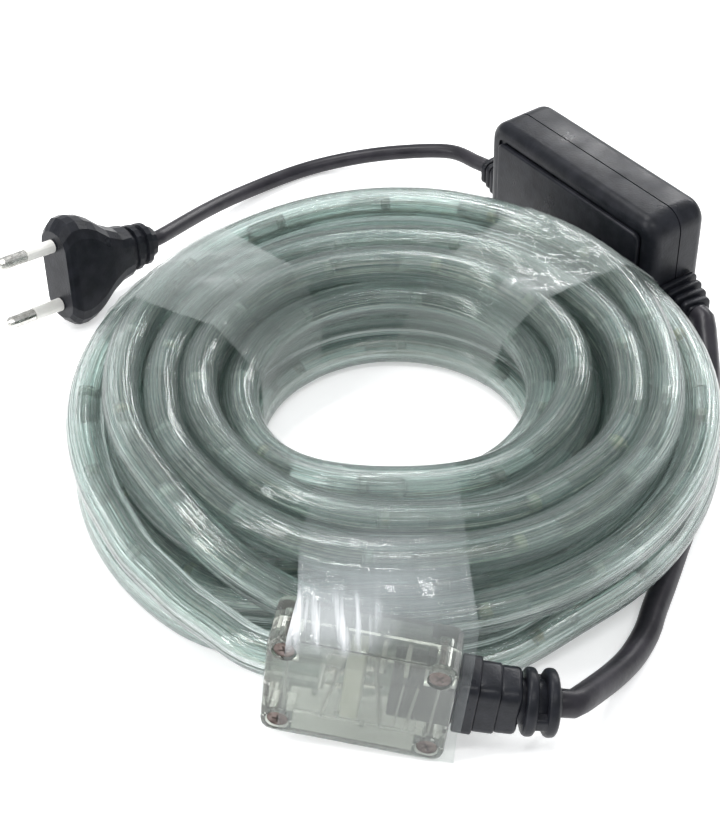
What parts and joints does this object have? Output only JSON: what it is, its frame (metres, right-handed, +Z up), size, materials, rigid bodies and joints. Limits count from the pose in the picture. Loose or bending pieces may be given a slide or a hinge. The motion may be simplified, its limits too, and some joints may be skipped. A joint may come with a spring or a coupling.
{
  "type": "led rope light",
  "caption": "Coiled clear LED rope light held by clear tape, with a clear splice box, a black function controller and a short mains lead with a flat two-pin plug.",
  "frame": {"origin": "middle of the bounding box of the coil, splice box and controller, on the surface they lie on; the two free leads and what is on them are left out of that box", "axes": "+Z up, the coil's axis; -Y towards the splice box; +X towards the controller's output end"},
  "size_m": [0.2064, 0.2526, 0.038],
  "materials": {
    "clear_rope": "clear, slightly green",
    "clear_tape": "clear glossy film",
    "clear_case": "clear moulded",
    "screw": "brown passivated",
    "ivory": "satin",
    "contact": "tinned",
    "black_moulding": "satin",
    "black_lead": "satin PVC",
    "white_sleeve": "satin",
    "nickel_pin": "nickel plated"
  },
  "bodies": {
    "root": {"rope_coil": "clear_rope", "rope_lead": "clear_rope", "tape_left": "clear_tape", "tape_right": "clear_tape", "tape_front": "clear_tape", "splice_box_front": "clear_case", "splice_box_back": "clear_case", "splice_screw_1": "screw", "splice_screw_2": "screw", "splice_screw_3": "screw", "splice_screw_4": "screw", "clamp_bar": "ivory", "contact_pin_1": "contact", "contact_pin_2": "contact", "contact_pin_3": "contact", "controller_front": "black_moulding", "controller_back": "black_moulding", "output_relief": "black_moulding", "mains_relief": "black_moulding", "lead_connector": "black_moulding", "plug_body": "black_moulding", "output_lead": "black_lead", "mains_lead": "black_lead", "plug_sleeve_1": "white_sleeve", "plug_sleeve_2": "white_sleeve", "plug_pin_1": "nickel_pin", "plug_pin_2": "nickel_pin"}
  },
  "joints": []
}
